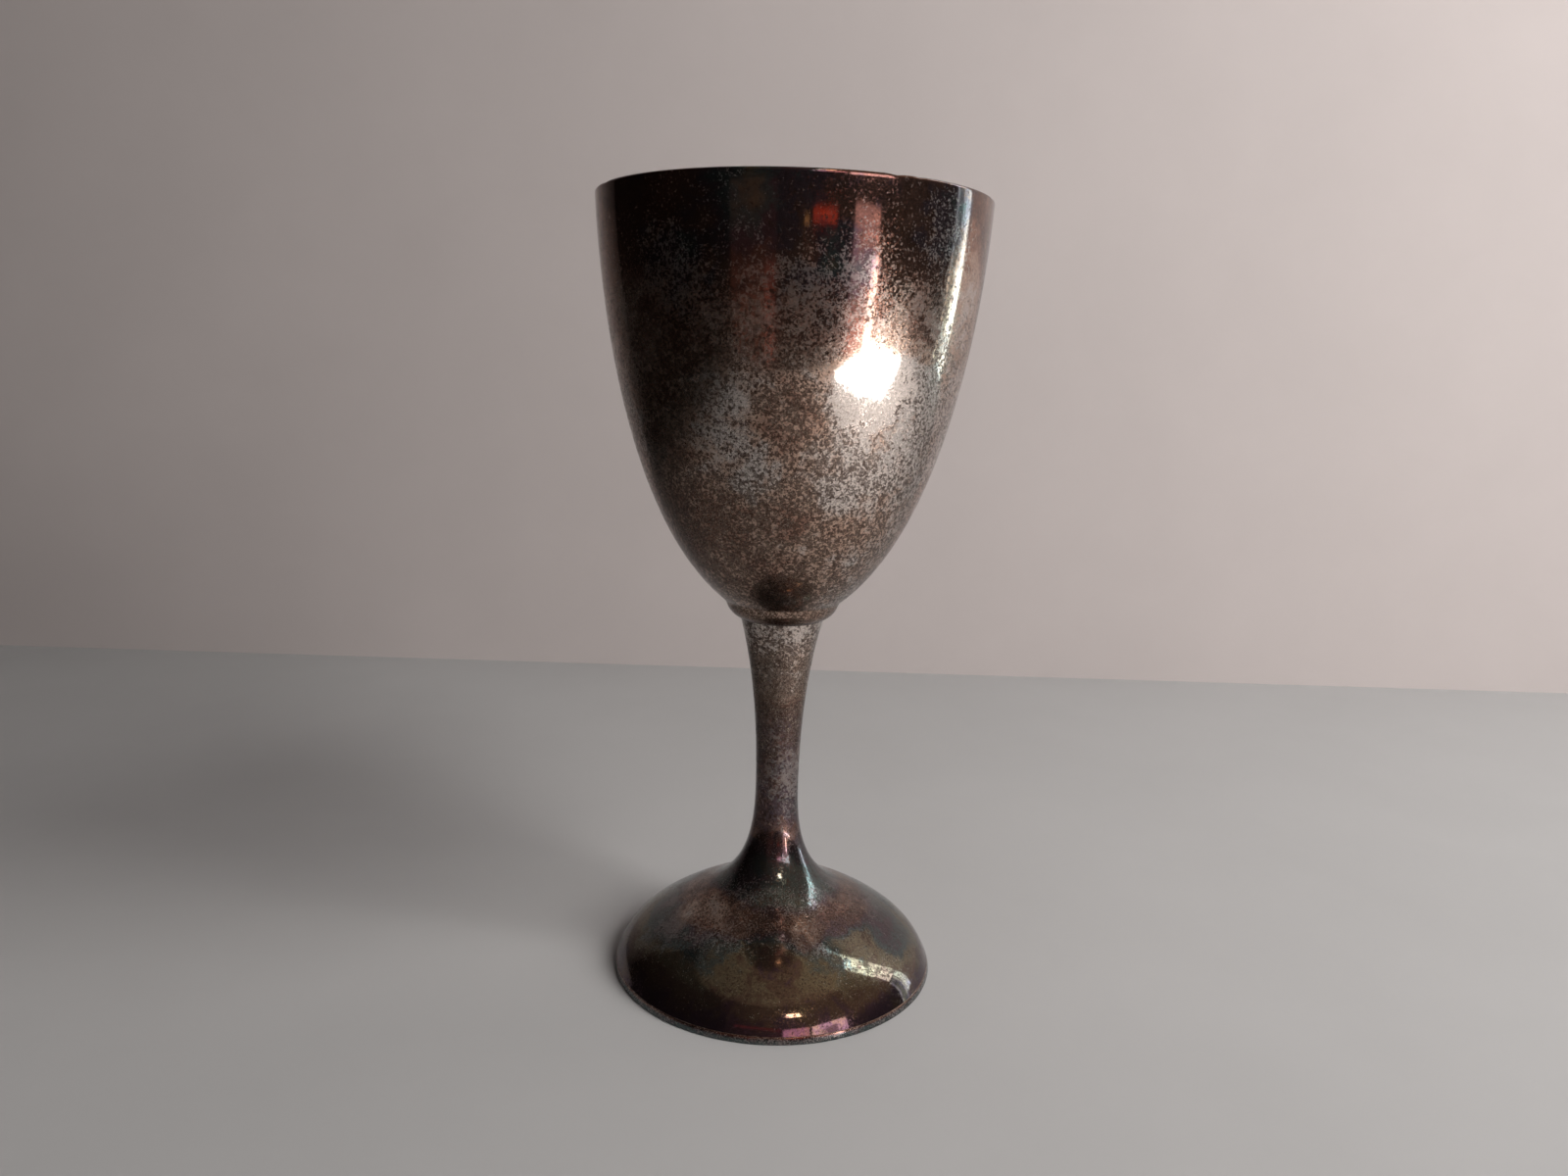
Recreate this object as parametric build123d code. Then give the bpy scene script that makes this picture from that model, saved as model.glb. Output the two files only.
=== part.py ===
from build123d import *
from math import cos, radians, sin
import os

# A stemmed presentation goblet in silver-plated brass. Lengths are millimetres and angles are
# degrees. The axis is +Z and the foot rests on z = 0.
#
# Every piece is spun or turned, so it is drawn as a section on the right of the axis, in the
# XZ plane, and revolved. Outlines run upwards along the outside, so the metal is on their left.
# The pieces are soft soldered together, and each seam is a thin ring of solder of its own.

# Overall size
height = 166.0
rim_radius = 40.0
foot_radius = 36.0

# Metal thickness
wall = 0.9
sleeve_wall = 0.7
spigot_wall = 1.4
film = 0.1

# Bowl: a round dish at the bottom, then one long swelling side up to the rim
seat_radius = 12.25
seat_height = 83.5
seat_slope = 37.5
seat_pull = 26.6
rim_slope = 87.5
rim_pull = 21.1

# Seat collar: the convex ring between bowl and stem
collar_foot_radius = 9.0
collar_foot_height = 79.8
collar_bulge_radius = 11.1
collar_bulge_height = 81.15
collar_bore_radius = 6.4
spigot_low = 75.0

# Stem: widest under the collar, narrowest at the waist
stem_top_slope = 75.3
stem_top_pull = 13.5
waist_radius = 4.76
waist_height = 41.4
waist_pull_up = 12.8
waist_pull_down = 15.1

# Foot: a dome that turns up into a trumpet neck
shoulder_radius = 18.1
shoulder_height = 15.5
shoulder_slope = 153.2
shoulder_pull_in = 16.3
shoulder_pull_out = 10.8
dome_edge_radius = 35.5
dome_edge_height = 1.5
dome_edge_slope = 117.7
dome_edge_pull = 4.3

# Neck joint, where a sleeve inside the metal carries the butt seam of stem and foot
neck_seam_height = 30.0
sleeve_low = 24.0
sleeve_high = 36.0

# Foot wire: the ring that the cup stands on, with a low lip inside the dome's edge
wire_inner_radius = 33.2
wire_edge_round = 0.25
wire_lip_height = 2.6
wire_lip_wall = 0.8

# Number of spans in a curve that runs parallel to another
parallel_spans = 10


def heading(slope):
    """Unit vector at this angle above the outward horizontal."""
    return Vector(cos(radians(slope)), sin(radians(slope)))


def flowing_line(start, start_slope, start_pull, end, end_slope, end_pull):
    """One smooth curve that leaves the start and meets the end along the given slopes."""
    first_handle = Vector(start) + heading(start_slope) * start_pull
    last_handle = Vector(end) - heading(end_slope) * end_pull
    return Bezier(start, first_handle, last_handle, end)


def parallel(line, depth):
    """The curve that runs at this depth in the metal under an outline."""
    if depth == 0:
        return line
    points = []
    for step in range(parallel_spans + 1):
        place = step / parallel_spans
        along = line % place
        inward = Vector(-along.Y, along.X)
        points.append(line @ place + inward * depth)
    return Spline(points, tangents=(line % 0, line % 1))


def spun(section):
    """The solid that a section makes when it is turned about the axis."""
    return revolve(Plane.XZ * section, Axis.Z)


def layer(outlines, near, far, low, high):
    """Section of the metal between two depths under joined outlines, cut at two heights."""
    outside = [parallel(line, near) for line in outlines]
    inside = [parallel(line, far) for line in outlines]
    bottom_end = Line(outside[0] @ 0, inside[0] @ 0)
    top_end = Line(outside[-1] @ 1, inside[-1] @ 1)
    whole = make_face(outside + inside + [bottom_end, top_end])
    band = Pos(0, (low + high) / 2) * Rectangle(4 * foot_radius, high - low)
    return whole & band


# Shared outlines
waist = (waist_radius, waist_height)
shoulder = (shoulder_radius, shoulder_height)
collar_foot = (collar_foot_radius, collar_foot_height)
dome_edge = (dome_edge_radius, dome_edge_height)

dome_line = flowing_line(
    dome_edge, dome_edge_slope, dome_edge_pull, shoulder, shoulder_slope, shoulder_pull_in
)
trumpet_line = flowing_line(
    shoulder, shoulder_slope, shoulder_pull_out, waist, 90, waist_pull_down
)
stem_line = flowing_line(
    waist, 90, waist_pull_up, collar_foot, stem_top_slope, stem_top_pull
)

# The bowl's dish is part of a sphere that meets the side without a corner
dish_radius = seat_radius / sin(radians(seat_slope))
dish_centre = (0, seat_height + dish_radius * cos(radians(seat_slope)))


def dish_arc(radius, from_radius=0.0):
    """Arc of the dish from a distance off the axis out to the seat."""
    start = -90.0
    if from_radius > 0:
        start += degrees_off_axis(from_radius, radius)
    return CenterArc(dish_centre, radius, start, seat_slope - 90.0 - start)


def degrees_off_axis(distance, radius):
    """Angle at the dish's centre between its lowest point and a point this far off the axis."""
    return Vector(0, -1).get_angle(Vector(distance, -((radius**2 - distance**2) ** 0.5)))


def make_bowl():
    """Spun cup with a round bottom and a rounded rim."""
    rim_end = (rim_radius, height - wall / 2 * (1 + cos(radians(rim_slope))))
    outer_side = flowing_line(
        (seat_radius, seat_height), seat_slope, seat_pull, rim_end, rim_slope, rim_pull
    )
    inner_side = parallel(outer_side, wall)
    rim_middle = (outer_side @ 1 + inner_side @ 1) / 2
    rim_top = rim_middle + heading(rim_slope) * (wall / 2)
    rim = ThreePointArc(outer_side @ 1, rim_top, inner_side @ 1)
    outer_dish = dish_arc(dish_radius)
    inner_dish = dish_arc(dish_radius - wall)
    axis_edge = Line(outer_dish @ 0, inner_dish @ 0)
    return spun(make_face([outer_dish, outer_side, rim, inner_side, inner_dish, axis_edge]))


def make_bowl_solder():
    """Film of solder between the bowl's bottom and the seat collar."""
    upper = dish_arc(dish_radius, collar_bore_radius)
    lower = dish_arc(dish_radius + film, collar_bore_radius)
    ends = [Line(upper @ 0, lower @ 0), Line(upper @ 1, lower @ 1)]
    return spun(make_face([upper, lower] + ends))


def make_seat_collar():
    """Turned ring that carries the bowl, with a spigot that drops into the stem."""
    seat = dish_arc(dish_radius + film, collar_bore_radius)
    bulge = ThreePointArc(seat @ 1, (collar_bulge_radius, collar_bulge_height), collar_foot)
    bore_foot = (collar_bore_radius, collar_foot_height)
    ring = make_face([seat, bulge, Line(collar_foot, bore_foot), Line(bore_foot, seat @ 0)])
    spigot_depth = wall + film
    spigot = layer(
        [stem_line], spigot_depth, spigot_depth + spigot_wall, spigot_low, collar_foot_height
    )
    return spun(ring + spigot)


def make_collar_solder():
    """Solder on the stem's top edge and around the spigot."""
    edge = layer([stem_line], 0, wall + film, collar_foot_height - film, collar_foot_height)
    skin = layer([stem_line], wall, wall + film, spigot_low, collar_foot_height - film)
    return spun(edge + skin)


def make_stem():
    """Drawn tube with a waist, from the neck seam up to the collar."""
    low = neck_seam_height + film / 2
    return spun(layer([trumpet_line, stem_line], 0, wall, low, collar_foot_height - film))


def make_neck_sleeve():
    """Short sleeve inside stem and foot, across their seam."""
    depth = wall + film
    return spun(layer([trumpet_line], depth, depth + sleeve_wall, sleeve_low, sleeve_high))


def make_neck_solder():
    """Solder in the neck seam and around the sleeve."""
    half = film / 2
    seam = layer([trumpet_line], 0, wall + half, neck_seam_height - half, neck_seam_height + half)
    skin = layer([trumpet_line], wall, wall + film, sleeve_low, sleeve_high)
    return spun(seam + skin)


def make_foot():
    """Spun dome and trumpet neck, open underneath."""
    low = dome_edge_height + film
    return spun(layer([dome_line, trumpet_line], 0, wall, low, neck_seam_height - film / 2))


def make_foot_wire():
    """Ring that the cup rests on, with a low lip that the dome's edge drops over."""
    top_outer = (dome_edge_radius, dome_edge_height)
    bottom_outer = (foot_radius, 0)
    bottom_inner = (wire_inner_radius, 0)
    top_inner = (wire_inner_radius, dome_edge_height)
    ring = make_face(Polyline(bottom_inner, bottom_outer, top_outer, top_inner, close=True))
    ring = fillet(ring.vertices().group_by(Axis.Y)[0], wire_edge_round)
    lip_depth = wall + film
    lip = layer(
        [dome_line], lip_depth, lip_depth + wire_lip_wall, dome_edge_height, wire_lip_height
    )
    return spun(ring + lip)


def make_foot_solder():
    """Solder under the dome's edge and behind it, on the foot wire's lip."""
    edge = layer([dome_line], 0, wall + film, dome_edge_height, dome_edge_height + film)
    skin = layer([dome_line], wall, wall + film, dome_edge_height + film, wire_lip_height)
    return spun(edge + skin)


pieces = {
    "bowl": make_bowl(),
    "bowl_solder": make_bowl_solder(),
    "seat_collar": make_seat_collar(),
    "collar_solder": make_collar_solder(),
    "stem": make_stem(),
    "neck_sleeve": make_neck_sleeve(),
    "neck_solder": make_neck_solder(),
    "foot": make_foot(),
    "foot_wire": make_foot_wire(),
    "foot_solder": make_foot_solder(),
}

os.makedirs("parts", exist_ok=True)
for name, piece in pieces.items():
    export_step(piece, f"parts/{name}.step")
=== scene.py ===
import math

import bpy
from mathutils import Matrix, Vector, noise


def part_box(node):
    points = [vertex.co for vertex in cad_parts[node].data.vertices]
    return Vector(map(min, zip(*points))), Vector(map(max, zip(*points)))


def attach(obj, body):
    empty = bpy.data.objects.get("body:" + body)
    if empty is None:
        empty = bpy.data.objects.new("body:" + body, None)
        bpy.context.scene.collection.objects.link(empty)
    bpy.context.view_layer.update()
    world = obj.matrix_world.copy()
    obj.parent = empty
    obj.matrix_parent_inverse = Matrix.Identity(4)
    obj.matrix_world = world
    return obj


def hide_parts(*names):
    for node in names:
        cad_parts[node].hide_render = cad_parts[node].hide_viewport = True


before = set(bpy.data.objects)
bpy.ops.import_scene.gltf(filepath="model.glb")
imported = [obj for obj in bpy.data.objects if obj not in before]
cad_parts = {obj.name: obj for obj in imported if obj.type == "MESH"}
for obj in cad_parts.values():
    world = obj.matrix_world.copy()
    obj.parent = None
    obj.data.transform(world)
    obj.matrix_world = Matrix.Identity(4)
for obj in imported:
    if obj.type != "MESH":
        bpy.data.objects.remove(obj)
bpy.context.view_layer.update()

# Sections are drawn in millimetres, on the right of the axis, as (radius, height). Outlines run
# upwards along the outside, so the metal is on their left.
MM = 0.001

AROUND = 288  # steps round the axis
TOUCHING = 1e-6  # points closer than this are one point
SHARP = 50  # degrees between two faces that meet in a sharp edge
RIM_CLEARANCE = 0.001  # keeps the rim just under the CAD box
SOLDER_FILM = 0.1  # thickness of the solder in every joint

# ---------------------------------------------------------------- sizes from the frame
rim_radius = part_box("bowl")[1].x / MM
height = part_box("bowl")[1].z / MM - RIM_CLEARANCE
foot_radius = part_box("foot_wire")[1].x / MM
dome_edge_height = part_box("foot_solder")[0].z / MM
dome_edge_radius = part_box("foot_solder")[1].x / MM
wire_lip_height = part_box("foot_wire")[1].z / MM
collar_foot_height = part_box("stem")[1].z / MM + SOLDER_FILM
spigot_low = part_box("seat_collar")[0].z / MM
neck_seam_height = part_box("stem")[0].z / MM - SOLDER_FILM / 2
sleeve_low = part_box("neck_sleeve")[0].z / MM
sleeve_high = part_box("neck_sleeve")[1].z / MM

# ---------------------------------------------------------------- shape of the outlines
wall = 0.9
sleeve_wall = 0.7
spigot_wall = 1.4
wire_lip_wall = 0.8
wire_inner_radius = 33.2

seat = (12.25, 83.5)
seat_slope = 37.5
rim_slope = 87.5
collar_foot = (9.0, collar_foot_height)
collar_bulge = (11.1, 81.15)
collar_bore = 6.4
waist = (4.76, 41.4)
collar_foot_slope = 75.3
shoulder = (18.1, 15.5)
shoulder_slope = 153.2
dome_edge = (dome_edge_radius, dome_edge_height)
dome_edge_slope = 117.7


def heading(slope):
    """Unit vector at this angle above the outward horizontal, in degrees."""
    return Vector((math.cos(math.radians(slope)), math.sin(math.radians(slope))))


def flowing(start, start_slope, start_pull, end, end_slope, end_pull, count):
    """Points of the smooth curve that leaves the start and meets the end along two slopes."""
    a = Vector(start)
    b = a + heading(start_slope) * start_pull
    d = Vector(end)
    c = d - heading(end_slope) * end_pull
    points = []
    for step in range(count + 1):
        t = step / count
        s = 1 - t
        points.append(a * s**3 + b * 3 * s * s * t + c * 3 * s * t * t + d * t**3)
    return points


def arc(centre, radius, start, end, count):
    """Points of an arc, angles in degrees from the outward horizontal."""
    centre = Vector(centre)
    return [centre + heading(start + (end - start) * n / count) * radius for n in range(count + 1)]


def parallel(points, depth):
    """The same line moved into the metal, which is on its left."""
    moved = []
    for n, point in enumerate(points):
        before = points[max(n - 1, 0)]
        after = points[min(n + 1, len(points) - 1)]
        along = (after - before).normalized()
        moved.append(point + Vector((-along.y, along.x)) * depth)
    return moved


def between(points, low, high):
    """The stretch of a rising line between two heights, cut exactly at both."""
    cut = []
    for a, b in zip(points, points[1:]):
        if b.y <= low or a.y >= high:
            continue
        if a.y < low:
            a = a.lerp(b, (low - a.y) / (b.y - a.y))
        if not cut:
            cut.append(a)
        if b.y > high:
            b = a.lerp(b, (high - a.y) / (b.y - a.y))
        cut.append(b)
    return cut


def rounded(corners, radii, count=5):
    """A closed outline with each corner rounded by its own radius."""
    points = []
    total = len(corners)
    for n, (corner, radius) in enumerate(zip(corners, radii)):
        corner = Vector(corner)
        back = (Vector(corners[n - 1]) - corner).normalized()
        ahead = (Vector(corners[(n + 1) % total]) - corner).normalized()
        half = back.angle(ahead) / 2
        reach = radius / math.tan(half)
        first = corner + back * reach
        last = corner + ahead * reach
        if radius == 0:
            points.append(corner)
            continue
        for step in range(count + 1):
            t = step / count
            points.append(first * (1 - t) ** 2 + corner * 2 * t * (1 - t) + last * t * t)
    return points


dish_radius = seat[0] / math.sin(math.radians(seat_slope))
dish_centre = (0.0, seat[1] + dish_radius * math.cos(math.radians(seat_slope)))
dome_line = flowing(dome_edge, dome_edge_slope, 4.3, shoulder, shoulder_slope, 16.3, 90)
trumpet_line = flowing(shoulder, shoulder_slope, 10.8, waist, 90, 15.1, 90)
stem_line = flowing(waist, 90, 12.8, collar_foot, collar_foot_slope, 13.5, 90)
foot_line = dome_line + trumpet_line[1:]
pillar_line = trumpet_line + stem_line[1:]


def layer(line, near, far, low, high):
    """The metal between two depths under a line and between two heights: its outer side upwards
    and its inner side downwards."""
    outside = between(parallel(line, near), low, high)
    inside = between(parallel(line, far), low, high)
    return outside, inside[::-1]


# ---------------------------------------------------------------- lathe
def toward(azimuth, elevation):
    """Direction from the goblet: azimuth 0 is towards the camera and 90 is to its right."""
    a, e = math.radians(azimuth), math.radians(elevation)
    return Vector((math.sin(a) * math.cos(e), -math.cos(a) * math.cos(e), math.sin(e)))


WAVES = 55.0  # waves of unevenness in a metre
WAVE_DEPTH = 0.0011  # as a share of the radius
WAVE_START = 0.01  # radius in metres inside which the waves fade out

NICK_REACH = 1.6  # how far below the rim a nick is felt
NICKS = [  # azimuth, depth, half width
    (26, 0.22, 1.1),
    (33, 0.14, 0.7),
    (71, 0.28, 0.8),
    (-63, 0.12, 1.6),
    (-150, 0.20, 1.4),
    (158, 0.25, 0.9),
]


def uneven(point):
    """Spun metal isn't perfectly true: a slow unevenness, never outside the true shape."""
    slow = noise.noise(point * WAVES) * 0.5 + 0.5
    return 1.0 - WAVE_DEPTH * slow * min(1.0, point.xy.length / WAVE_START)


def worn(point):
    """How far the rim is lowered here by its nicks, in metres."""
    near = (point.z / MM - (height - NICK_REACH)) / NICK_REACH
    if near <= 0:
        return 0.0
    drop = 0.0
    for azimuth, depth, width in NICKS:
        here = toward(azimuth, 0) * rim_radius * MM
        away = (point.xy - here.xy).length / MM
        drop += depth * math.exp(-((away / width) ** 2))
    return drop * near * near * MM


def spin(name, runs, closed=True):
    """Turns a section about the axis. The section is made of runs of (material, points), one after
    the other, and where two runs meet their shared point is kept once."""
    outline = []
    paints = []
    for paint, points in runs:
        for point in points:
            if outline and (outline[-1] - point).length < TOUCHING:
                continue
            outline.append(point)
            paints.append(paint)
    if closed and (outline[-1] - outline[0]).length < TOUCHING:
        outline.pop()
        paints.pop()
    vertices = []
    rings = []
    for point in outline:
        if point.x < TOUCHING:
            rings.append([len(vertices)] * AROUND)
            vertices.append(Vector((0, 0, point.y * MM)))
            continue
        ring = []
        for n in range(AROUND):
            turn = math.tau * n / AROUND
            place = Vector((math.cos(turn) * point.x, math.sin(turn) * point.x, point.y)) * MM
            swell = uneven(place)
            ring.append(len(vertices))
            vertices.append(Vector((place.x * swell, place.y * swell, place.z - worn(place))))
        rings.append(ring)
    faces = []
    indices = []
    slots = []
    for paint in paints:
        if paint not in slots:
            slots.append(paint)
    for n, low in enumerate(rings):
        if n + 1 == len(rings) and not closed:
            break
        high = rings[(n + 1) % len(rings)]
        for j in range(AROUND):
            k = (j + 1) % AROUND
            corners = [low[j], low[k], high[k], high[j]]
            face = [v for m, v in enumerate(corners) if v not in corners[:m]]
            if len(face) > 2:
                faces.append(face)
                indices.append(slots.index(paints[(n + 1) % len(rings)]))
    mesh = bpy.data.meshes.new(name)
    mesh.from_pydata(vertices, [], faces)
    for paint in slots:
        mesh.materials.append(paint)
    mesh.polygons.foreach_set("material_index", indices)
    mesh.polygons.foreach_set("use_smooth", [True] * len(faces))
    mesh.set_sharp_from_angle(angle=math.radians(SHARP))
    mesh.update()
    piece = bpy.data.objects.new(name, mesh)
    bpy.context.scene.collection.objects.link(piece)
    return piece


def fit(piece, node):
    """The piece rides with the goblet and stands for its CAD node."""
    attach(piece, "root")
    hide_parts(node)


# ---------------------------------------------------------------- node helper
class Nodes:
    """A node tree, with one short call for each kind of node."""

    def __init__(self, tree):
        self.tree = tree

    def node(self, kind, settings=None, **sockets):
        made = self.tree.nodes.new(kind)
        for key, value in (settings or {}).items():
            setattr(made, key, value)
        for key, value in sockets.items():
            self.feed(made.inputs[key.replace("_", " ")], value)
        return made

    def feed(self, socket, value):
        if isinstance(value, bpy.types.NodeSocket):
            self.tree.links.new(value, socket)
        else:
            socket.default_value = value

    def math(self, operation, a, b=0.0, c=0.0):
        made = self.node("ShaderNodeMath", {"operation": operation})
        for socket, value in zip(made.inputs, (a, b, c)):
            self.feed(socket, value)
        return made.outputs[0]

    def step(self, value, low, high, start=0.0, end=1.0):
        """Smooth step from start to end as the value goes from low to high."""
        made = self.node("ShaderNodeMapRange", {"interpolation_type": "SMOOTHSTEP"})
        for socket, given in zip(made.inputs, (value, low, high, start, end)):
            self.feed(socket, given)
        return made.outputs[0]

    def ramp(self, value, stops, easing="LINEAR"):
        made = self.node("ShaderNodeValToRGB", Fac=value)
        band = made.color_ramp
        band.interpolation = easing
        while len(band.elements) < len(stops):
            band.elements.new(0.5)
        for element, (place, colour) in zip(band.elements, stops):
            element.position = place
            if isinstance(colour, (int, float)):
                colour = (colour, colour, colour)
            element.color = (*colour, 1.0)
        return made.outputs["Color"]

    def mix(self, amount, a, b, blend="MIX"):
        made = self.node("ShaderNodeMix", {"data_type": "RGBA", "blend_type": blend})
        self.feed(made.inputs[0], amount)
        for socket, colour in ((made.inputs[6], a), (made.inputs[7], b)):
            if isinstance(colour, tuple):
                colour = (*colour, 1.0)
            self.feed(socket, colour)
        return made.outputs[2]


class Paint(Nodes):
    """A material's nodes. Places are in the goblet's own frame."""

    def __init__(self, name):
        self.material = bpy.data.materials.new(name)
        self.material.use_nodes = True
        super().__init__(self.material.node_tree)
        self.shader = self.tree.nodes["Principled BSDF"]
        self.place = self.node("ShaderNodeTexCoord").outputs["Object"]
        self.xyz = self.node("ShaderNodeSeparateXYZ", Vector=self.place).outputs

    def noise(self, size, detail=2.0, roughness=0.5, distortion=0.0, seed=0.0, place=None):
        """Noise whose grains are about this many millimetres across."""
        made = self.node(
            "ShaderNodeTexNoise",
            {"noise_dimensions": "4D"},
            Vector=place or self.place,
            W=seed,
            Scale=1.0 / (size * MM),
            Detail=detail,
            Roughness=roughness,
            Distortion=distortion,
        )
        return made.outputs["Fac"]

    def centred(self, *grain):
        """The same noise, running to both sides of zero."""
        return self.math("SUBTRACT", self.noise(*grain), 0.5)

    def dots(self, spacing):
        """Distance from scattered points this many millimetres apart, in units of that spacing."""
        made = self.node("ShaderNodeTexVoronoi", Vector=self.place, Scale=1.0 / (spacing * MM))
        return made.outputs["Distance"]

    def away_from(self, spot):
        """Distance from a spot, in metres."""
        made = self.node("ShaderNodeVectorMath", {"operation": "DISTANCE"})
        self.feed(made.inputs[0], self.place)
        self.feed(made.inputs[1], spot)
        return made.outputs["Value"]

    def bump(self, height_value, depth, strength=1.0):
        """Relief: the height runs from 0 to 1 over this depth in millimetres."""
        made = self.node(
            "ShaderNodeBump", Height=height_value, Distance=depth * MM, Strength=strength
        )
        return made.outputs["Normal"]

    def finish(self, **sockets):
        """Sets the surface shader's sockets."""
        for key, value in sockets.items():
            if isinstance(value, tuple):
                value = (*value, 1.0)
            self.feed(self.shader.inputs[key.replace("_", " ")], value)
        return self.material

    def only(self, made):
        """Puts this node's shader in place of the usual one."""
        self.tree.nodes.remove(self.shader)
        self.feed(self.tree.nodes["Material Output"].inputs["Surface"], made.outputs[0])
        return self.material


# ---------------------------------------------------------------- tarnished silver
# Colour of the plate as the sulphide film on it thickens: clean, straw, copper, dark copper, rose,
# teal, olive gold, red-brown and magenta.
FILM = [
    (0.00, (0.62, 0.550, 0.505)),
    (0.16, (0.50, 0.350, 0.275)),
    (0.30, (0.33, 0.186, 0.138)),
    (0.42, (0.165, 0.095, 0.076)),
    (0.52, (0.105, 0.073, 0.085)),
    (0.64, (0.090, 0.115, 0.115)),
    (0.78, (0.187, 0.158, 0.110)),
    (0.90, (0.130, 0.088, 0.068)),
    (1.00, (0.095, 0.060, 0.078)),
]


def heights(low, high, stops):
    """Values by height in millimetres, as places between the heights low and high."""
    return [((z - low) / (high - low), value) for z, value in stops]


BLOOM_GREY = (0.30, 0.275, 0.255)
SPECK_BROWN = (0.042, 0.022, 0.015)
CURL_PALE = (0.52, 0.43, 0.35)


def plated(
    name,
    film,
    specks,
    haze,
    gloss=0.07,
    speck=0.55,
    clumps=0.75,
    wander=0.5,
    seed=0.0,
    patches=(),
):
    """Silver plate under tarnish. film, specks and haze are lists of (height, value): how thick
    the coloured film is, and how much of the plate is hidden by dark specks and by dull grey
    bloom. gloss is the roughness of the bare metal and speck the size of a speck. clumps is how
    much the specks gather and wander how much the film's thickness drifts. Each patch is (azimuth,
    height, radius, size, film, specks, haze) and adds to the three round a spot; azimuth 0 faces
    the camera and 90 is on its right."""
    p = Paint(name)
    low, high = film[0][0], film[-1][0]
    rise = p.math("DIVIDE", p.math("SUBTRACT", p.xyz["Z"], low * MM), (high - low) * MM)
    # Noises, from the slowest to the finest.
    cloud = p.centred(24.0, 3.0, 0.55, 0.4, seed + 1.0)
    drift = p.centred(9.0, 4.0, 0.62, 0.6, seed + 3.0)
    ragged = p.centred(6.0, 4.0, 0.62, 0.8, seed + 2.0)
    clump = p.centred(2.2, 3.0, 0.6, 0.6, seed + 4.0)
    grain = p.noise(speck, 4.0, 0.68, 0.6, seed + 5.0)
    powder = p.noise(speck * 0.8, 4.0, 0.7, 0.5, seed + 6.0)
    fine = p.noise(0.32, 3.0, 0.65, 0.6, seed + 7.0)

    # The three amounts by height, with borders that sway, and then by patch.
    sway = p.math("MULTIPLY_ADD", cloud, 0.22, p.math("MULTIPLY_ADD", ragged, 0.08, rise))

    def by_height(stops):
        return p.ramp(sway, heights(low, high, stops), "EASE")

    thick = p.math("MULTIPLY_ADD", drift, wander, by_height(film))
    speckled = p.math("MULTIPLY_ADD", ragged, 0.75, by_height(specks))
    speckled = p.math("MULTIPLY_ADD", clump, clumps, speckled)
    bloomed = p.math("MULTIPLY_ADD", drift, -0.9, by_height(haze))
    bloomed = p.math("MULTIPLY_ADD", clump, -0.7, bloomed)
    for azimuth, z, radius, size, more_film, more_specks, more_haze in patches:
        spot = toward(azimuth, 0) * radius * MM + Vector((0, 0, z * MM))
        away = p.math("MULTIPLY_ADD", ragged, size * 1.6 * MM, p.away_from(spot))
        here = p.step(away, size * MM, size * 0.35 * MM)
        thick = p.math("MULTIPLY_ADD", here, more_film, thick)
        speckled = p.math("MULTIPLY_ADD", here, more_specks, speckled)
        bloomed = p.math("MULTIPLY_ADD", here, more_haze, bloomed)
    thick = p.math("MULTIPLY_ADD", clump, 0.30, thick)

    def covered(grains, amount, soft_low, soft_high):
        """Where the grains stand above a level that falls as the amount goes from 0 to 1."""
        level = p.math("MULTIPLY_ADD", p.math("MINIMUM", amount, 1.0), -0.30, 0.65)
        return p.step(p.math("SUBTRACT", grains, level), soft_low, soft_high)

    dark = covered(grain, speckled, -0.010, 0.018)
    dull = covered(powder, bloomed, -0.035, 0.045)
    pits = p.math("MULTIPLY", p.step(p.dots(1.25), 0.20, 0.14), p.step(drift, -0.08, 0.04))
    dark = p.math("MAXIMUM", dark, pits)
    curl = p.math("ABSOLUTE", p.centred(1.3, 2.0, 0.5, 2.2, seed + 8.0))
    curl = p.math("MULTIPLY", p.step(curl, 0.022, 0.010), p.step(speckled, 0.5, 0.75))

    coloured = p.ramp(thick, FILM, "EASE")
    coloured = p.mix(1.0, coloured, p.ramp(fine, [(0.32, 0.50), (0.62, 1.0)]), "MULTIPLY")
    grey = p.mix(0.48, coloured, BLOOM_GREY)
    brown = p.mix(p.step(powder, 0.36, 0.64, 0.04, 0.32), SPECK_BROWN, coloured)
    colour = p.mix(dark, p.mix(dull, coloured, grey), brown)
    colour = p.mix(p.math("MULTIPLY", curl, 0.55), colour, CURL_PALE)

    # Bloom, specks and thick film are less metallic, and bloom and specks are rougher.
    filmed = p.step(p.math("MULTIPLY_ADD", clump, 0.8, thick), 0.1, 0.5)
    matt = p.math("MULTIPLY_ADD", dull, 0.26, p.math("MULTIPLY", dark, 0.12))
    matt = p.math("MULTIPLY_ADD", filmed, 0.13, matt)
    rough = p.math("MULTIPLY_ADD", dark, 0.18, p.step(fine, 0.3, 0.7, gloss, gloss + 0.06))
    rough = p.math("MULTIPLY_ADD", dull, 0.16, rough)
    return p.finish(
        Base_Color=colour,
        Metallic=p.math("SUBTRACT", 1.0, matt),
        Roughness=rough,
        Normal=p.bump(dark, 0.006, 0.4),
    )


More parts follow.
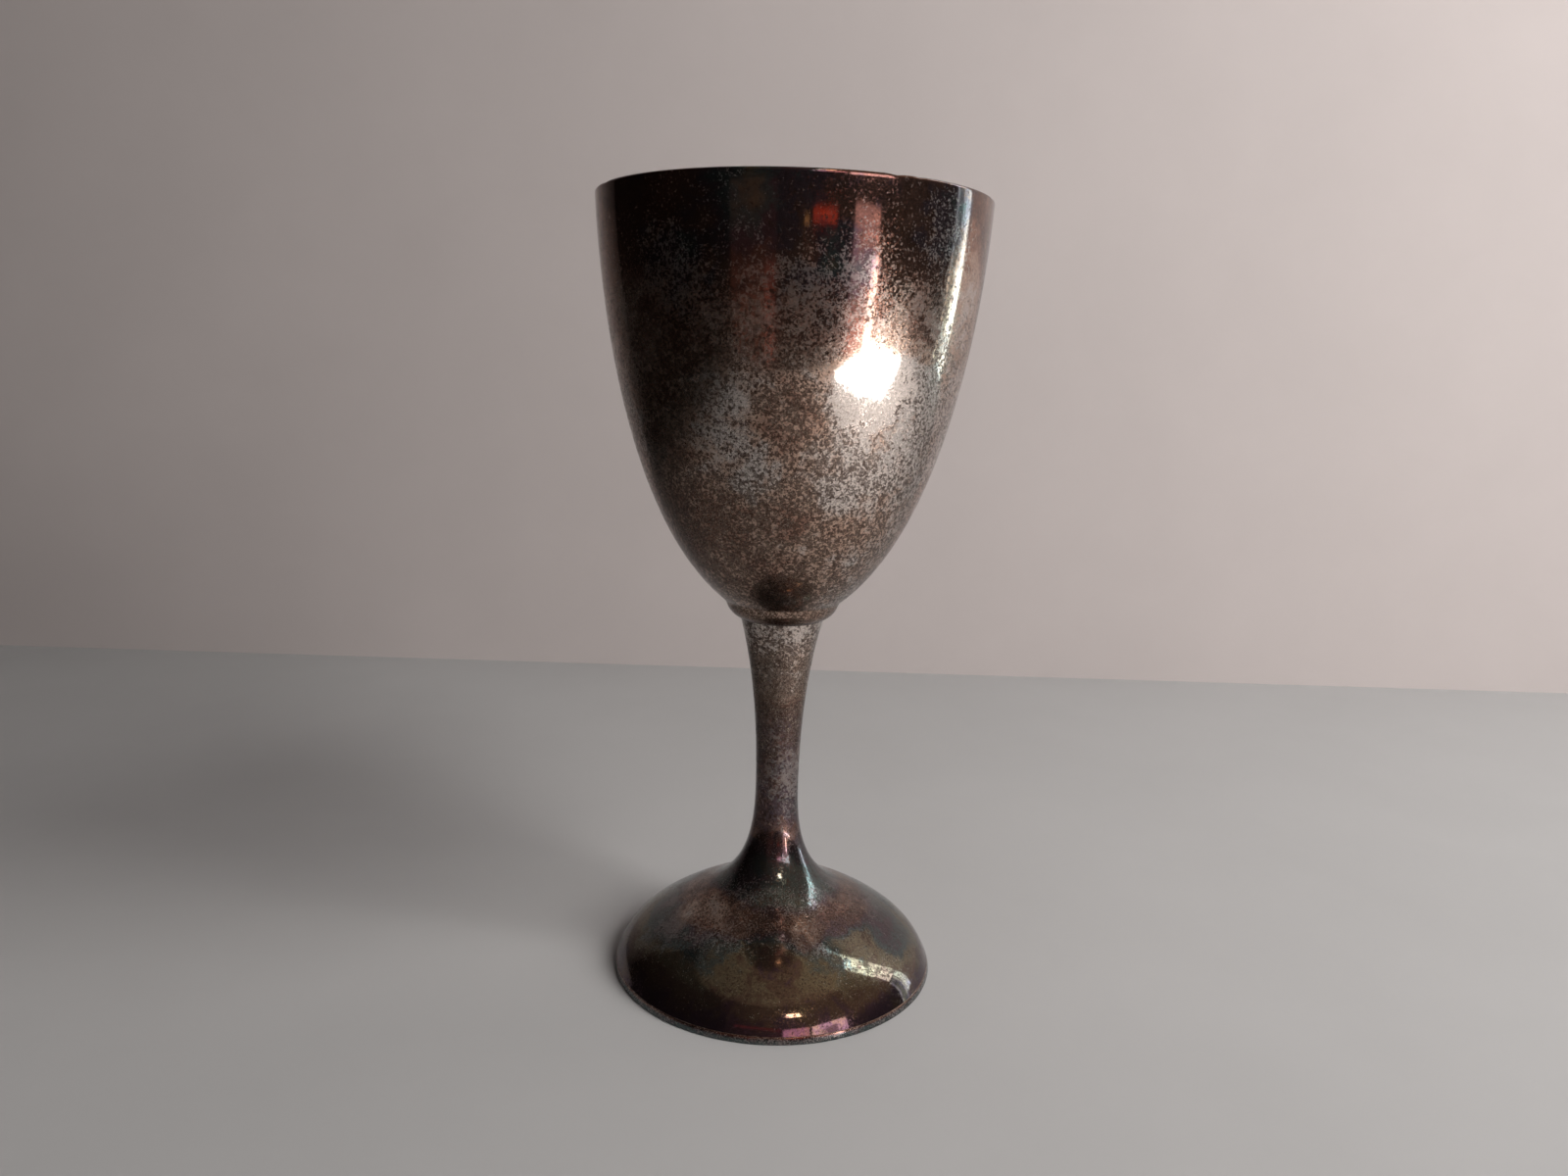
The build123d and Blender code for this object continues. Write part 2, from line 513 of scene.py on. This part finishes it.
bowl_outside = plated(
    "bowl_outside",
    film=[
        (83, 0.12),
        (92, 0.17),
        (104, 0.18),
        (113, 0.06),
        (126, 0.03),
        (144, 0.22),
        (156, 0.36),
        (166, 0.42),
    ],
    specks=[
        (83, 0.60),
        (100, 0.60),
        (112, 0.58),
        (128, 0.52),
        (142, 0.44),
        (154, 0.20),
        (166, 0.06),
    ],
    haze=[
        (83, 0.12),
        (104, 0.10),
        (124, 0.24),
        (141, 0.44),
        (150, 0.34),
        (157, 0.20),
        (162, 0.10),
        (166, 0.06),
    ],
    gloss=0.045,
    speck=0.68,
    patches=[
        (0, 124, 34, 9, 0.22, 0.16, -0.1),
        (44, 106, 28, 24, -0.06, -0.05, 0.04),
        (36, 121, 34, 8, 0.08, -0.12, 0.3),
        (-45, 127, 35, 15, 0.13, 0.04, 0.16),
        (-44, 100, 26, 24, 0.10, 0.10, -0.1),
        (-8, 157, 39, 17, 0.14, 0.0, -0.1),
        (-25, 143, 38, 12, 0.06, 0.0, 0.06),
        (10, 144, 37, 13, 0.16, -0.04, 0.14),
        (37, 144.5, 38, 2.4, -0.05, -0.1, 0.5),
        (42, 142.5, 38, 2.8, -0.05, -0.1, 0.4),
        (46, 140.5, 38, 2.4, -0.05, -0.1, 0.5),
        (51, 138.0, 37.5, 2.6, -0.05, -0.1, 0.4),
        (40, 147, 38, 13, 0.02, 0.06, 0.04),
        (88, 150, 40, 17, 0.22, 0.18, 0.0),
        # A cleaner spot of plate, with less film, specks and bloom, where the sunlit patch is
        # mirrored: partly a painted highlight that whitens that reflection.
        (26, 129, 36, 11, -0.12, -0.45, -0.45),
        (48, 143, 38, 11, 0.12, 0.05, 0.0),
        (59, 146, 38, 11, -0.24, -0.15, -0.45),
        (-18, 119, 32, 11, 0.0, -0.14, 0.0),
        (-4, 147, 38, 8, -0.04, -0.05, 0.15),
        (2, 107, 28, 9, 0.12, 0.08, 0.0),
        (-80, 122, 35, 14, 0.12, 0.10, 0.0),
        (-34, 150, 39, 12, 0.16, 0.0, 0.16),
        (-14, 161, 40, 9, 0.14, 0.0, 0.14),
        (14, 152, 39, 9, 0.12, 0.0, 0.10),
        (44, 159, 39.5, 10, 0.14, 0.05, 0.20),
    ],
)
bowl_inside = plated(
    "bowl_inside",
    film=[(80, 0.30), (100, 0.14), (140, 0.10), (166, 0.30)],
    specks=[(80, 0.50), (105, 0.20), (166, 0.15)],
    haze=[(80, 0.6), (166, 0.45)],
    gloss=0.14,
    seed=20.0,
)
collar_plate = plated(
    "collar_plate",
    film=[(79, 0.58), (80.1, 0.54), (80.9, 0.20), (84, 0.14)],
    specks=[(79, 0.76), (81, 0.68), (84, 0.62)],
    haze=[(79, 0.1), (84, 0.1)],
    speck=0.5,
    seed=7.0,
)
stem_plate = plated(
    "stem_plate",
    film=[(22, 0.44), (42, 0.49), (57, 0.49), (61.5, 0.44), (64.5, 0.12), (80, 0.03)],
    specks=[(22, 0.20), (40, 0.46), (58, 0.66), (65, 1.0), (70, 0.88), (75, 0.56), (80, 0.44)],
    haze=[(22, 0.0), (36, 0.20), (56, 0.34), (64, 0.30), (72, 0.12), (80, 0.08)],
    gloss=0.05,
    speck=0.66,
    clumps=1.2,
    wander=0.22,
    seed=3.0,
    patches=[
        (24, 46, 5, 9, -0.08, -0.10, 0.20),
        (70, 44, 5, 10, 0.12, -0.1, 0.15),
    ],
)
foot_outside = plated(
    "foot_outside",
    film=[
        (1, 0.98),
        (4, 0.95),
        (6.5, 0.88),
        (9, 0.76),
        (11, 0.67),
        (13, 0.62),
        (14.5, 0.38),
        (16, 0.36),
        (18.5, 0.64),
        (22, 0.60),
        (27, 0.58),
        (31, 0.50),
    ],
    specks=[(1, 0.16), (7, 0.28), (12, 0.34), (15, 0.50), (19, 0.38), (31, 0.34)],
    haze=[(1, 0.0), (10, 0.10), (14, 0.54), (18, 0.36), (23, 0.08), (31, 0.12)],
    gloss=0.035,
    speck=0.42,
    seed=11.0,
    patches=[
        (0, 13, 24, 9, 0.24, -0.20, -0.30),
        (-50, 15, 22, 11, -0.05, 0.0, 0.06),
        (48, 14.5, 22, 10, 0.13, 0.0, -0.40),
        (-64, 10, 28, 9, -0.06, 0.0, 0.36),
        (-52, 17, 18, 8, -0.16, 0.06, -0.12),
        (76, 10, 28, 11, -0.12, 0.05, -0.10),
    ],
)
foot_inside = plated(
    "foot_inside",
    film=[(0, 0.30), (15, 0.40), (31, 0.50)],
    specks=[(0, 0.40), (31, 0.70)],
    haze=[(0, 0.7), (31, 0.6)],
    gloss=0.25,
    seed=31.0,
)
# The film thins towards the top of the wire, so its top edge is lighter: a painted highlight line
# along its joint with the dome.
wire_plate_and_painted_highlight = plated(
    "wire_plate_and_painted_highlight",
    film=[(0, 0.62), (0.9, 0.60), (1.25, 0.40), (1.5, 0.34)],
    specks=[(0, 0.0), (1.5, 0.0)],
    haze=[(0, 0.40), (1.1, 0.45), (1.5, 0.3)],
    gloss=0.10,
    speck=0.4,
    wander=0.1,
    seed=17.0,
)


def solder_material():
    """Dull grey solder with brown dirt in its hollows."""
    p = Paint("seam_solder")
    dirt = p.noise(0.7, 4.0, 0.6, 0.3, 40.0)
    greys = [
        (0.35, (0.03, 0.022, 0.018)),
        (0.55, (0.12, 0.10, 0.09)),
        (0.75, (0.32, 0.30, 0.28)),
    ]
    return p.finish(
        Base_Color=p.ramp(dirt, greys),
        Metallic=1.0,
        Roughness=p.step(dirt, 0.3, 0.7, 0.5, 0.28),
        Normal=p.bump(dirt, 0.02, 0.6),
    )


def brass_material():
    """Bare brass, browned and streaked by flux."""
    p = Paint("bare_brass")
    stain = p.noise(4.0, 4.0, 0.6, 0.5, 50.0)
    height_only = p.node("ShaderNodeCombineXYZ", Z=p.xyz["Z"]).outputs[0]
    turning = p.noise(0.15, 2.0, 0.5, 0.0, 51.0, height_only)
    yellows = [
        (0.3, (0.20, 0.12, 0.05)),
        (0.55, (0.48, 0.33, 0.13)),
        (0.75, (0.60, 0.45, 0.20)),
    ]
    return p.finish(
        Base_Color=p.ramp(stain, yellows),
        Metallic=1.0,
        Roughness=p.step(stain, 0.3, 0.7, 0.45, 0.3),
        Normal=p.bump(turning, 0.01, 0.5),
    )


seam_solder = solder_material()
bare_brass = brass_material()


# ---------------------------------------------------------------- pieces
def make_bowl():
    outer_dish = arc(dish_centre, dish_radius, -90, seat_slope - 90, 14)
    half = wall / 2
    rim_end = (rim_radius, height - half * (1 + math.cos(math.radians(rim_slope))))
    side = flowing(seat, seat_slope, 26.6, rim_end, rim_slope, 21.1, 150)
    inner_side = parallel(side, wall)
    rim_middle = (side[-1] + inner_side[-1]) / 2
    rim = arc(rim_middle, half, rim_slope - 90, rim_slope + 90, 10)
    inner_dish = arc(dish_centre, dish_radius - wall, seat_slope - 90, -90, 14)
    outside = outer_dish + side[1:] + rim[1:5]
    inside = rim[5:] + inner_side[-2::-1] + inner_dish[1:]
    piece = spin("bowl_finished", [(bowl_outside, outside), (bowl_inside, inside)], closed=False)
    fit(piece, "bowl")


def make_bowl_solder():
    start = -90 + math.degrees(math.asin(collar_bore / dish_radius))
    top = arc(dish_centre, dish_radius, start, seat_slope - 90, 8)
    bottom = arc(dish_centre, dish_radius + SOLDER_FILM, start, seat_slope - 90, 8)
    # The little fillet that shows in the corner between collar and bowl, from below upwards.
    proud = [Vector((12.33, 83.22)), Vector((12.43, 83.50)), Vector((12.72, 83.84))]
    runs = [(seam_solder, bottom), (collar_plate, proud), (seam_solder, top[::-1])]
    fit(spin("bowl_solder_finished", runs), "bowl_solder")


def make_seat_collar():
    start = -90 + math.degrees(math.asin(collar_bore / (dish_radius + SOLDER_FILM)))
    seat_arc = arc(dish_centre, dish_radius + SOLDER_FILM, start, seat_slope - 90, 10)
    a, b = Vector(collar_foot), seat_arc[-1]
    pull = Vector(collar_bulge) * 2 - (a + b) / 2
    bulge = []
    for n in range(25):
        t = n / 24
        bulge.append(a * (1 - t) ** 2 + pull * 2 * t * (1 - t) + b * t * t)
    depth = wall + SOLDER_FILM
    outer, inner = layer(stem_line, depth, depth + spigot_wall, spigot_low, collar_foot_height)
    outline = outer + bulge + seat_arc[-2::-1] + inner
    fit(spin("seat_collar_finished", [(collar_plate, outline)]), "seat_collar")


def make_collar_solder():
    top = collar_foot_height
    outer, inner = layer(stem_line, wall, wall + SOLDER_FILM, spigot_low, top)
    # The edge that shows between collar and stem, a little hollow at its foot.
    edge = [
        Vector((collar_foot[0] - 0.03, top - SOLDER_FILM)),
        Vector((collar_foot[0] + 0.02, top)),
    ]
    start = between(outer, spigot_low, top - SOLDER_FILM)
    outline = start + edge + inner
    fit(spin("collar_solder_finished", [(seam_solder, outline)]), "collar_solder")


def make_stem():
    low = neck_seam_height + SOLDER_FILM / 2
    outer, inner = layer(pillar_line, 0, wall, low, collar_foot_height - SOLDER_FILM)
    piece = spin("stem_finished", [(stem_plate, outer), (bare_brass, inner)])
    fit(piece, "stem")


def make_neck_sleeve():
    depth = wall + SOLDER_FILM
    outer, inner = layer(trumpet_line, depth, depth + sleeve_wall, sleeve_low, sleeve_high)
    fit(spin("neck_sleeve_finished", [(bare_brass, outer + inner)]), "neck_sleeve")


def make_neck_solder():
    half = SOLDER_FILM / 2
    outer, inner = layer(trumpet_line, wall, wall + SOLDER_FILM, sleeve_low, sleeve_high)
    seam_low, seam_high = neck_seam_height - half, neck_seam_height + half
    face = between(trumpet_line, seam_low, seam_high)
    below = between(outer, sleeve_low, seam_low)
    above = between(outer, seam_high, sleeve_high)
    runs = [(seam_solder, below), (stem_plate, face), (seam_solder, above + inner)]
    fit(spin("neck_solder_finished", runs), "neck_solder")


def make_foot():
    low = dome_edge_height + SOLDER_FILM
    outer, inner = layer(foot_line, 0, wall, low, neck_seam_height - SOLDER_FILM / 2)
    piece = spin("foot_finished", [(foot_outside, outer), (foot_inside, inner)])
    fit(piece, "foot")


def make_foot_wire():
    depth = wall + SOLDER_FILM
    low, high = dome_edge_height, wire_lip_height
    outer, inner = layer(dome_line, depth, depth + wire_lip_wall, low, high)
    corners = [
        (wire_inner_radius, 0),
        (foot_radius + 0.07, 0),  # rounded back to the radius of the foot
        dome_edge,
        tuple(outer[0]),
        tuple(outer[-1]),
        tuple(inner[0]),
        (wire_inner_radius, dome_edge_height),
    ]
    radii = [0.3, 0.22, 0.12, 0, 0.15, 0.15, 0]
    outline = rounded(corners, radii)
    fit(spin("foot_wire_finished", [(wire_plate_and_painted_highlight, outline)]), "foot_wire")


def make_foot_solder():
    low = dome_edge_height
    outer, inner = layer(dome_line, wall, wall + SOLDER_FILM, low, wire_lip_height)
    # The line that shows between wire and dome, set back a hair from both.
    edge = [
        Vector((dome_edge[0] - 0.05, low)),
        Vector((dome_edge[0] - 0.08, low + SOLDER_FILM)),
    ]
    above = between(outer, low + SOLDER_FILM, wire_lip_height)
    outline = [inner[-1]] + edge + above + inner[:-1]
    fit(spin("foot_solder_finished", [(seam_solder, outline)]), "foot_solder")


make_bowl()
make_bowl_solder()
make_seat_collar()
make_collar_solder()
make_stem()
make_neck_sleeve()
make_neck_solder()
make_foot()
make_foot_wire()
make_foot_solder()


# ---------------------------------------------------------------- stage
def plane(name, corners, material):
    mesh = bpy.data.meshes.new(name)
    mesh.from_pydata([Vector(c) for c in corners], [], [range(len(corners))])
    mesh.materials.append(material)
    thing = bpy.data.objects.new(name, mesh)
    bpy.context.scene.collection.objects.link(thing)
    return thing


def flat(name, left, right, front, back, z, material):
    """Level rectangle."""
    corners = [(left, front, z), (right, front, z), (right, back, z), (left, back, z)]
    return plane(name, corners, material)


def upright(name, left, right, y, low, high, material):
    """Upright rectangle that faces the camera."""
    corners = [(left, y, low), (right, y, low), (right, y, high), (left, y, high)]
    return plane(name, corners, material)


def mottled(p, colour):
    """The colour with the faintest cloudiness."""
    mottle = p.noise(60.0, 4.0, 0.6, 0.2, 60.0)
    return p.ramp(mottle, [(0.3, tuple(c * 0.96 for c in colour)), (0.7, colour)])


def pale(name, colour, rough):
    """Pale matt paint or paper."""
    p = Paint(name)
    p.shader.inputs["Specular IOR Level"].default_value = 0.0
    grain = p.bump(p.noise(1.5, 3.0), 0.02, 0.15)
    return p.finish(Base_Color=mottled(p, colour), Roughness=rough, Normal=grain)


def far_pale(name, colour, rough):
    """The same paint, faintly lit from within beyond the lamps' reach, so that it stays pale."""
    p = Paint(name)
    left = p.step(p.xyz["X"], -0.36, -0.80)
    right = p.step(p.xyz["X"], 0.76, 1.25)
    front = p.step(p.xyz["Y"], -0.35, -0.80)
    beyond = p.math("MAXIMUM", p.math("MAXIMUM", left, right), front)
    p.shader.inputs["Specular IOR Level"].default_value = 0.0
    return p.finish(
        Base_Color=mottled(p, colour),
        Roughness=rough,
        Emission_Color=(0.50, 0.465, 0.455),
        Emission_Strength=p.math("MULTIPLY", beyond, 0.85),
    )


def glow(name, colour, strength, leaves=0.0):
    """A light surface. leaves is the share of it that leaves outside the window take away."""
    p = Paint(name)
    if leaves:
        shadow = p.noise(90.0, 3.0, 0.6, 0.8, 70.0)
        strength = p.step(shadow, 0.42, 0.50, strength * (1 - leaves), strength)
    return p.only(p.node("ShaderNodeEmission", Color=(*colour, 1.0), Strength=strength))


def spill_light(centre, reach, colour, strength):
    """Light added to what is under it, strongest at a spot and gone at its reach, in metres."""
    p = Paint("sun_spill_light")
    fade = p.step(p.away_from(centre), reach, 0.04, 0.0, strength)
    light = p.node("ShaderNodeEmission", Color=(*colour, 1.0), Strength=fade)
    both = p.node("ShaderNodeAddShader")
    p.feed(both.inputs[0], light.outputs[0])
    p.feed(both.inputs[1], p.node("ShaderNodeBsdfTransparent").outputs[0])
    return p.only(both)


def shade_sheet(name, low, clear, dark):
    """Dark see-through sheet that paints shade into what the goblet mirrors. Along the x axis it
    thickens from the place clear to the place dark, where it lets only the share low of the light
    through. It thins out again from 0.25 to 0.50 m up."""
    p = Paint(name)
    shade = p.math("MULTIPLY", p.step(p.xyz["X"], clear, dark), p.step(p.xyz["Z"], 0.50, 0.25))
    share = p.ramp(shade, [(0.0, 0.94), (1.0, low)])
    return p.only(p.node("ShaderNodeBsdfTransparent", Color=share))


table_colour = (0.515, 0.515, 0.515)
wall_colour = (0.66, 0.60, 0.585)
table_rough, wall_rough = 0.55, 0.9
table_left, table_right, table_front, wall_y = -0.36, 0.75, -0.345, 0.25
table_z = -0.00002
wall_low = -0.01
far = 3.0  # how far the floor and wall go on to each side

table_paint = pale("pale_table", table_colour, table_rough)
wall_paint = pale("pale_wall", wall_colour, wall_rough)
flat("near_table", table_left, table_right, table_front, wall_y, table_z, table_paint)
far_paint = far_pale("far_table", table_colour, table_rough)
far_floor = flat("far_floor", -far, far, -far, far, table_z - 0.0002, far_paint)
upright("backdrop", -0.5, 1.2, wall_y, wall_low, 1.1, wall_paint)
far_paint = far_pale("far_wall_paint", wall_colour, wall_rough)
far_wall = upright("far_wall", -far, far, wall_y + 0.0005, wall_low, 1.5, far_paint)

# The far floor and wall only fill the view: the goblet doesn't mirror them or get their light.
for thing in (far_floor, far_wall):
    thing.visible_glossy = False
    thing.visible_diffuse = False


def hide(thing):
    """Leaves nothing of a surface but what the goblet mirrors."""
    thing.visible_camera = False
    thing.visible_diffuse = False
    thing.visible_shadow = False
    return thing


def panel(name, azimuths, elevations, distance, colour, strength):
    """Flat light at this distance, seen from the middle of the goblet between two azimuths and two
    elevations."""
    eye = Vector((0, 0, 0.1))
    corners = []
    for azimuth, elevation in (
        (azimuths[0], elevations[0]),
        (azimuths[1], elevations[0]),
        (azimuths[1], elevations[1]),
        (azimuths[0], elevations[1]),
    ):
        rise = distance * math.tan(math.radians(elevation))
        corners.append(eye + toward(azimuth, 0) * distance + Vector((0, 0, rise)))
    return hide(plane(name, corners, glow(name + "_light", colour, strength)))


window_azimuth = 110
window_distance = 0.65


def pane(name, left, right, low, high, colour, strength, leaves, lean=0.0):
    """Upright pane of the tall window, between two places along it and two heights, in metres. The
    left of its top leans over to the right by this much."""
    out = toward(window_azimuth, 0)
    along = Vector((-out.y, out.x, 0))
    start, end = (out * window_distance + along * place for place in (left, right))
    corners = [
        start + Vector((0, 0, low)),
        end + Vector((0, 0, low)),
        end + Vector((0, 0, high)),
        start + along * lean + Vector((0, 0, high)),
    ]
    return hide(plane(name, corners, glow(name + "_light", colour, strength, leaves)))


# The dark side of the room, on the left: painted shade, dark sheets that only the goblet's
# reflections see, darkening the mirrored wall and table.
wall_painted_shade = shade_sheet("wall_painted_shade", 0.25, -0.12, -0.50)
hide(upright("wall_shade_veil", -0.52, -0.12, 0.24, 0.001, 0.5, wall_painted_shade))
table_painted_shade = shade_sheet("table_painted_shade", 0.04, -0.12, -0.34)
hide(flat("table_shade_veil", table_left, -0.10, table_front, wall_y, 0.0008, table_painted_shade))

# The window, on the right.
pane("window_low_edge", -0.125, -0.108, 0.005, 0.28, (0.78, 1.0, 0.98), 3.8, 0.4)
pane("window_low_dim", -0.104, -0.060, 0.005, 0.28, (0.70, 0.95, 0.90), 1.3, 0.4)
pane("window_low_bright", -0.056, -0.036, 0.005, 0.28, (0.78, 1.0, 1.0), 4.6, 0.4)
pane("window_low_wide", -0.030, 0.026, 0.005, 0.28, (0.74, 0.98, 1.0), 8.6, 0.4)
pane("window_tail", 0.018, 0.042, 0.95, 1.62, (0.86, 1.0, 1.0), 9.0, 0.0, 0.022)
pane("window_low_tip", -0.030, 0.026, 0.28, 0.46, (0.80, 0.98, 1.0), 3.6, 0.4, 0.050)
pane("window_high_left", -0.11, -0.062, 0.30, 0.95, (0.88, 1.0, 1.0), 8.0, 0.8)
pane("window_high_middle", -0.056, -0.02, 0.30, 0.95, (0.88, 1.0, 1.0), 11.0, 0.8)
pane("window_high_right", -0.014, 0.042, 0.30, 0.95, (0.88, 1.0, 1.0), 8.0, 0.8)

# Lamps, cloths and gaps between them, in front.
panel("warm_bulb", (13, 24), (34.5, 40.5), 1.5, (1.0, 0.82, 0.60), 26.0)
panel("red_cloth", (10, 23), (0.2, 2.3), 1.2, (1.0, 0.14, 0.07), 1.4)
panel("gold_spot", (5.5, 8), (-0.2, 0.9), 1.2, (1.0, 0.70, 0.30), 1.6)
panel("pink_cloth", (9, 27), (12.5, 18.0), 1.2, (1.0, 0.56, 0.63), 3.6)
panel("pink_curtain", (29, 54), (8.5, 17.5), 1.2, (1.0, 0.76, 0.79), 5.8)
panel("red_cloth_low", (-24, 8), (17.0, 19.0), 1.2, (1.0, 0.22, 0.20), 0.4)
panel("pink_column", (32, 46), (-14, 7.5), 0.5, (1.0, 0.71, 0.71), 1.85)
panel("bright_slit", (43.5, 47.5), (-15, 1), 0.49, (1.0, 0.86, 0.82), 18.0)
panel("left_column", (-15, -9.5), (-18, -2), 0.58, (0.85, 0.36, 0.30), 0.36)
panel("brown_room", (-34, -9), (-18, 9), 0.6, (0.30, 0.15, 0.12), 0.36)

# The sunlit patch of table, and the paler table round it.
sunlit = [(0.393, -0.335), (0.481, -0.163), (0.305, -0.158), (0.163, -0.310)]
sunlit = [(x, y, 0.0006) for x, y in sunlit]
spill = spill_light((0.30, -0.23, 0.0), 0.40, (1.0, 0.92, 0.87), 0.82)
hide(flat("sun_spill", -0.15, table_right, table_front, 0.15, 0.0003, spill))
hide(plane("sun_patch", sunlit, glow("sun_patch_light", (1.0, 0.97, 0.94), 21.0)))


def soft_light(name, place, target, size, power, colour):
    """Large soft lamp that lights the stage but isn't mirrored or seen."""
    data = bpy.data.lights.new(name, "AREA")
    data.shape = "RECTANGLE"
    data.size, data.size_y = size
    data.energy = power
    data.color = colour
    thing = bpy.data.objects.new(name, data)
    thing.location = place
    aim = Vector(target) - Vector(place)
    thing.rotation_euler = aim.to_track_quat("-Z", "Y").to_euler()
    thing.visible_glossy = False
    thing.visible_camera = False
    bpy.context.scene.collection.objects.link(thing)


soft_light("soft_key", (0.62, -0.31, 0.54), (0, 0.05, 0.05), (0.5, 0.5), 7.5, (1.0, 0.97, 0.95))
soft_light("soft_fill", (-0.5, -0.6, 0.9), (0, 0, 0.05), (1.2, 1.0), 0.2, (1.0, 0.95, 0.93))


def studio_world():
    """Pale to the camera; in reflections a dim room with a warm ceiling, lighter on the right."""
    world = bpy.data.worlds.new("studio")
    bpy.context.scene.world = world
    world.use_nodes = True
    w = Nodes(world.node_tree)
    direction = w.node("ShaderNodeTexCoord").outputs["Generated"]
    way = w.node("ShaderNodeSeparateXYZ", Vector=direction).outputs
    across = w.step(way["X"], -0.6, 0.6)
    ceiling = w.mix(across, (0.17, 0.135, 0.11), (0.62, 0.48, 0.36))
    front = w.mix(w.step(way["X"], -0.5, 0.6), (0.07, 0.045, 0.035), (0.32, 0.23, 0.17))
    walls = w.mix(w.step(way["Z"], 0.15, 0.45), (0.034, 0.027, 0.024), front)
    walls = w.mix(w.step(way["X"], -0.42, -0.50), walls, (0.008, 0.005, 0.004))
    room = w.mix(w.step(way["Z"], 0.80, 0.84), walls, ceiling)
    mirrored = w.tree.nodes["Background"]
    w.feed(mirrored.inputs["Color"], room)
    seen = w.node("ShaderNodeBackground", Color=(0.50, 0.46, 0.45, 1.0))
    lit = w.node("ShaderNodeBackground", Color=(0.020, 0.018, 0.017, 1.0))
    path = w.node("ShaderNodeLightPath").outputs
    choice = w.node("ShaderNodeMixShader")
    w.feed(choice.inputs[0], path["Is Glossy Ray"])
    w.feed(choice.inputs[1], lit.outputs[0])
    w.feed(choice.inputs[2], mirrored.outputs[0])
    final = w.node("ShaderNodeMixShader")
    w.feed(final.inputs[0], path["Is Camera Ray"])
    w.feed(final.inputs[1], choice.outputs[0])
    w.feed(final.inputs[2], seen.outputs[0])
    w.feed(w.tree.nodes["World Output"].inputs["Surface"], final.outputs[0])


studio_world()

# ---------------------------------------------------------------- camera
camera_place = (0.0, -0.23725, 0.13249)
pitch, yaw, roll = -0.19291, 0.00103, 0.03097  # radians
ahead = Vector((math.sin(yaw) * math.cos(pitch), math.cos(yaw) * math.cos(pitch), math.sin(pitch)))
side = Vector((math.cos(yaw), -math.sin(yaw), 0))
up = side.cross(ahead)
camera_x = side * math.cos(roll) + up * math.sin(roll)
camera_y = up * math.cos(roll) - side * math.sin(roll)
turned = Matrix((camera_x, camera_y, -ahead)).transposed().to_4x4()
lens = bpy.data.cameras.new("camera")
lens.sensor_width = 36.0
lens.lens = 25.65
lens.clip_start = 0.01
camera = bpy.data.objects.new("camera", lens)
camera.matrix_world = Matrix.Translation(camera_place) @ turned
bpy.context.scene.collection.objects.link(camera)
bpy.context.scene.camera = camera
bpy.context.scene.view_settings.view_transform = "Standard"
